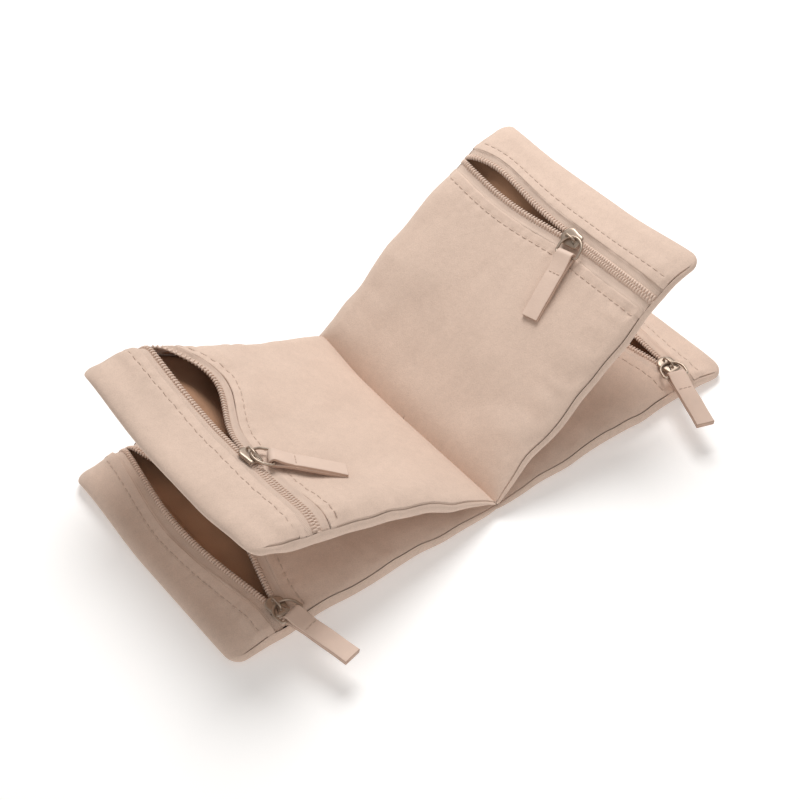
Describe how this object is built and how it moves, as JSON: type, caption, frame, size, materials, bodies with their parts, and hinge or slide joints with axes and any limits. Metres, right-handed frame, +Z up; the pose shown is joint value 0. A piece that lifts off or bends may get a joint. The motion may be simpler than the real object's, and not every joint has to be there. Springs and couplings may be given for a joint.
{
  "type": "folding jewelry roll",
  "caption": "Folding fabric jewelry roll: flat zip pockets sewn to one centre seam like a book, each with a slider, wire ring and leather pull tab.",
  "frame": {"origin": "on the resting plane, under the middle of the centre seam", "axes": "+X along the long side, +Y along the seam away from the viewer, +Z up"},
  "size_m": [0.22, 0.1303, 0.0708],
  "materials": {
    "suede": "brushed microsuede",
    "lining": "plain woven lining",
    "zip_tape": "herringbone zip tape",
    "zip_coil": "nylon coil",
    "metal": "polished pale gold plating",
    "leather": "smooth matte leather"
  },
  "bodies": {
    "base": {"centre_seam": "suede", "bl_shell": "suede", "bl_front_panel": "suede", "bl_lining": "lining", "bl_tape_inner": "zip_tape", "bl_tape_outer": "zip_tape"},
    "tl_leaf": {"tl_shell": "suede", "tl_front_panel": "suede", "tl_lining": "lining", "tl_tape_inner": "zip_tape", "tl_tape_outer": "zip_tape"},
    "br_leaf": {"br_shell": "suede", "br_front_panel": "suede", "br_lining": "lining", "br_tape_inner": "zip_tape", "br_tape_outer": "zip_tape"},
    "tr_leaf": {"tr_shell": "suede", "tr_front_panel": "suede", "tr_lining": "lining", "tr_tape_inner": "zip_tape", "tr_tape_outer": "zip_tape"},
    "tl_lip_inner": {"tl_coil_inner": "zip_coil"},
    "tl_lip_outer": {"tl_coil_outer": "zip_coil"},
    "tl_slider": {"tl_slider": "metal"},
    "tl_ring": {"tl_pull_ring": "metal"},
    "tl_tab": {"tl_pull_tab": "leather"},
    "tr_lip_inner": {"tr_coil_inner": "zip_coil"},
    "tr_lip_outer": {"tr_coil_outer": "zip_coil"},
    "tr_slider": {"tr_slider": "metal"},
    "tr_ring": {"tr_pull_ring": "metal"},
    "tr_tab": {"tr_pull_tab": "leather"},
    "bl_lip_inner": {"bl_coil_inner": "zip_coil"},
    "bl_lip_outer": {"bl_coil_outer": "zip_coil"},
    "bl_slider": {"bl_slider": "metal"},
    "bl_ring": {"bl_pull_ring": "metal"},
    "bl_tab": {"bl_pull_tab": "leather"},
    "br_lip_inner": {"br_coil_inner": "zip_coil"},
    "br_lip_outer": {"br_coil_outer": "zip_coil"},
    "br_slider": {"br_slider": "metal"},
    "br_ring": {"br_pull_ring": "metal"},
    "br_tab": {"br_pull_tab": "leather"}
  },
  "joints": [
    {"name": "tl_leaf_fold", "type": "hinge", "parent": "base", "child": "tl_leaf", "pos_m": [-0.0015, 0, 0.0055], "axis": [0, 1, 0], "range_deg": [-11, 56]},
    {"name": "book_fold", "type": "hinge", "parent": "base", "child": "br_leaf", "pos_m": [0, 0, 0.0068], "axis": [0, 1, 0], "range_deg": [-98, 0]},
    {"name": "tr_leaf_fold", "type": "hinge", "parent": "br_leaf", "child": "tr_leaf", "pos_m": [0.0015, 0, 0.0055], "axis": [0, -1, 0], "range_deg": [-22, 45]},
    {"name": "tl_zip", "type": "slide", "parent": "tl_leaf", "child": "tl_slider", "axis": [0, 1, 0], "range_m": [-0.0355, 0.058]},
    {"name": "tl_inner_lip", "type": "slide", "parent": "tl_leaf", "child": "tl_lip_inner", "axis": [-0.9121, 0, 0.4099], "range_m": [-0.00806, 0.0131], "deforming": ["tl_coil_inner"]},
    {"name": "tl_outer_lip", "type": "slide", "parent": "tl_leaf", "child": "tl_lip_outer", "axis": [0.9121, 0, -0.4099], "range_m": [-0.00047, 0.0007], "deforming": ["tl_coil_outer"]},
    {"name": "tl_ring_swing", "type": "hinge", "parent": "tl_slider", "child": "tl_ring", "pos_m": [-0.07216, -0.012, 0.04466], "axis": [-0.5984, -0.7547, 0.2689], "range_deg": [0, 110]},
    {"name": "tl_tab_swing", "type": "hinge", "parent": "tl_ring", "child": "tl_tab", "pos_m": [-0.06678, -0.01642, 0.04224], "axis": [-0.4561, -0.866, 0.205], "range_deg": [0, 70]},
    {"name": "tr_zip", "type": "slide", "parent": "tr_leaf", "child": "tr_slider", "axis": [0, 1, 0], "range_m": [-0.0391, 0.0544]},
    {"name": "tr_inner_lip", "type": "slide", "parent": "tr_leaf", "child": "tr_lip_inner", "axis": [0.8181, 0, 0.575], "range_m": [-0.00269, 0.0037], "deforming": ["tr_coil_inner"]},
    {"name": "tr_outer_lip", "type": "slide", "parent": "tr_leaf", "child": "tr_lip_outer", "axis": [-0.8181, 0, -0.575], "range_m": [-0.00254, 0.0035], "deforming": ["tr_coil_outer"]},
    {"name": "tr_ring_swing", "type": "hinge", "parent": "tr_slider", "child": "tr_ring", "pos_m": [0.06798, -0.0084, 0.06047], "axis": [-0.5368, 0.7547, -0.3772], "range_deg": [0, 110]},
    {"name": "tr_tab_swing", "type": "hinge", "parent": "tr_ring", "child": "tr_tab", "pos_m": [0.06289, -0.01195, 0.0569], "axis": [-0.1561, 0.9816, -0.1097], "range_deg": [0, 70]},
    {"name": "bl_zip", "type": "slide", "parent": "base", "child": "bl_slider", "axis": [0, 1, 0], "range_m": [0, 0.0915]},
    {"name": "bl_inner_lip", "type": "slide", "parent": "base", "child": "bl_lip_inner", "axis": [-1, 0, 0], "range_m": [-0.0001, 0.0091], "deforming": ["bl_coil_inner"]},
    {"name": "bl_outer_lip", "type": "slide", "parent": "base", "child": "bl_lip_outer", "axis": [1, 0, 0], "range_m": [-0.0001, 0.0051], "deforming": ["bl_coil_outer"]},
    {"name": "bl_ring_swing", "type": "hinge", "parent": "bl_slider", "child": "bl_ring", "pos_m": [-0.088, -0.0455, 0.0116], "axis": [-0.9781, -0.2079, 0], "range_deg": [0, 72]},
    {"name": "bl_tab_swing", "type": "hinge", "parent": "bl_ring", "child": "bl_tab", "pos_m": [-0.08646, -0.05274, 0.0116], "axis": [-0.9781, -0.2079, 0], "range_deg": [-20, 70]},
    {"name": "br_zip", "type": "slide", "parent": "br_leaf", "child": "br_slider", "axis": [0, 1, 0], "range_m": [-0.0055, 0.088]},
    {"name": "br_inner_lip", "type": "slide", "parent": "br_leaf", "child": "br_lip_inner", "axis": [1, 0, 0], "range_m": [-0.00044, 0.0056], "deforming": ["br_coil_inner"]},
    {"name": "br_outer_lip", "type": "slide", "parent": "br_leaf", "child": "br_lip_outer", "axis": [-1, 0, 0], "range_m": [-0.00029, 0.0031], "deforming": ["br_coil_outer"]},
    {"name": "br_ring_swing", "type": "hinge", "parent": "br_slider", "child": "br_ring", "pos_m": [0.0895, -0.042, 0.0116], "axis": [-0.9397, 0.342, 0], "range_deg": [0, 110]},
    {"name": "br_tab_swing", "type": "hinge", "parent": "br_ring", "child": "br_tab", "pos_m": [0.08697, -0.04895, 0.0116], "axis": [-0.9397, 0.342, 0], "range_deg": [-8, 70]}
  ],
  "couplings": [
    {"joint": "tl_inner_lip", "follows": "tl_zip", "ratio": 0.22414},
    {"joint": "tl_outer_lip", "follows": "tl_zip", "ratio": 0.010345},
    {"joint": "tr_inner_lip", "follows": "tr_zip", "ratio": 0.066176},
    {"joint": "tr_outer_lip", "follows": "tr_zip", "ratio": 0.0625},
    {"joint": "bl_inner_lip", "follows": "bl_zip", "ratio": 0.098361},
    {"joint": "bl_outer_lip", "follows": "bl_zip", "ratio": 0.054645},
    {"joint": "br_inner_lip", "follows": "br_zip", "ratio": 0.0625},
    {"joint": "br_outer_lip", "follows": "br_zip", "ratio": 0.034091}
  ]
}
